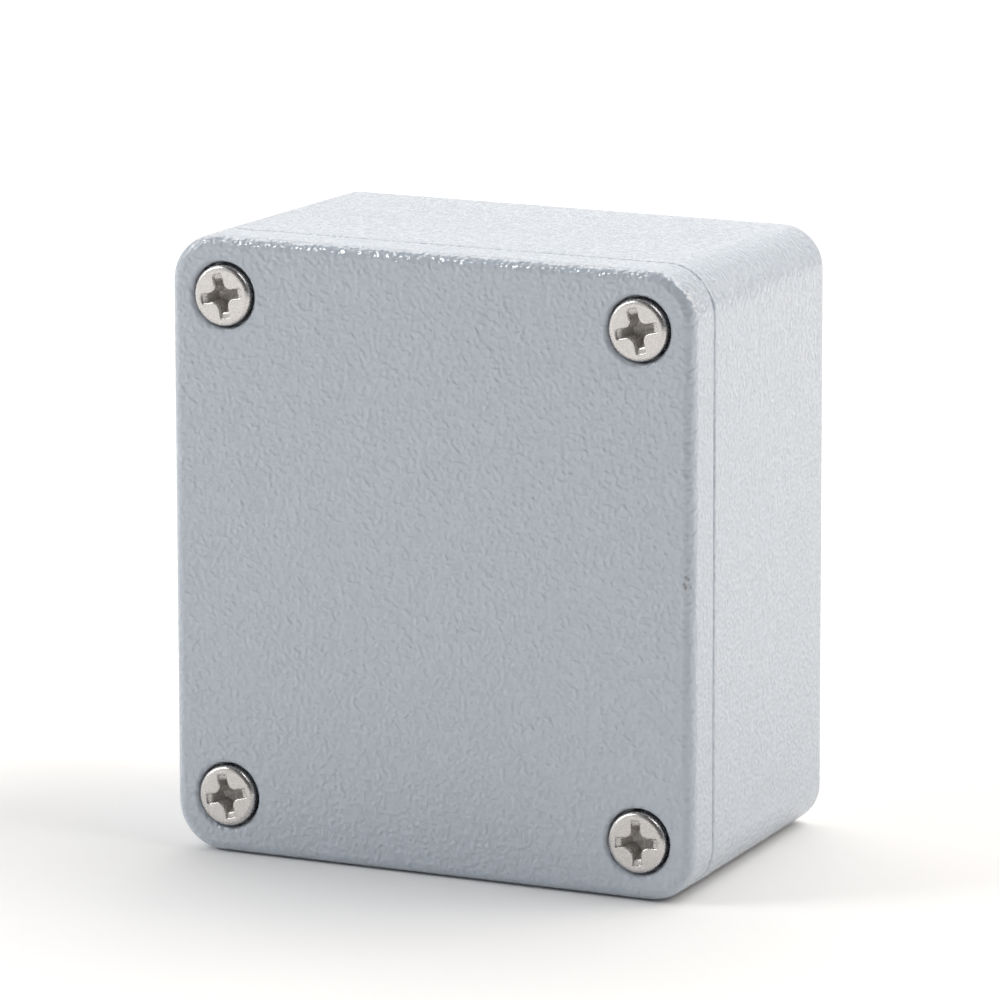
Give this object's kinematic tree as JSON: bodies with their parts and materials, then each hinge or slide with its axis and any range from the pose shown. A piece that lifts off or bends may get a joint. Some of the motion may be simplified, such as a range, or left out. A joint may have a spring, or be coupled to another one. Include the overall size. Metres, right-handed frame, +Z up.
{
  "type": "aluminium junction box",
  "caption": "Small die-cast aluminium junction box with a sealed, screwed lid in grey textured powder coat and wall fixing holes outside the seal.",
  "frame": {"origin": "centre of the box's footprint, on the surface that it stands on", "axes": "+Z up the box's height, -Y out of the lid's front, +X to the right as seen from the front"},
  "size_m": [0.058, 0.0354, 0.064],
  "materials": {
    "powder_coat": "textured powder coat on die-cast aluminium",
    "screw_steel": "bright stainless steel",
    "seal_rubber": "soft moulded seal"
  },
  "bodies": {
    "base": {"base": "powder_coat", "earth_washer": "screw_steel"},
    "lid": {"lid": "powder_coat", "gasket": "seal_rubber"},
    "lid_screw_top_left": {"lid_screw_top_left": "screw_steel"},
    "lid_screw_top_right": {"lid_screw_top_right": "screw_steel"},
    "lid_screw_bottom_left": {"lid_screw_bottom_left": "screw_steel"},
    "lid_screw_bottom_right": {"lid_screw_bottom_right": "screw_steel"},
    "earth_screw": {"earth_screw": "screw_steel"}
  },
  "joints": [
    {"name": "lid_lift", "type": "slide", "parent": "base", "child": "lid", "axis": [0, -1, 0], "range_m": [0, 0.04]},
    {"name": "lid_screw_top_left_out", "type": "slide", "parent": "lid", "child": "lid_screw_top_left", "axis": [0, -1, 0], "range_m": [0, 0.009]},
    {"name": "lid_screw_top_right_out", "type": "slide", "parent": "lid", "child": "lid_screw_top_right", "axis": [0, -1, 0], "range_m": [0, 0.009]},
    {"name": "lid_screw_bottom_left_out", "type": "slide", "parent": "lid", "child": "lid_screw_bottom_left", "axis": [0, -1, 0], "range_m": [0, 0.009]},
    {"name": "lid_screw_bottom_right_out", "type": "slide", "parent": "lid", "child": "lid_screw_bottom_right", "axis": [0, -1, 0], "range_m": [0, 0.009]},
    {"name": "earth_screw_out", "type": "slide", "parent": "base", "child": "earth_screw", "axis": [0, -1, 0], "range_m": [0, 0.004]}
  ]
}
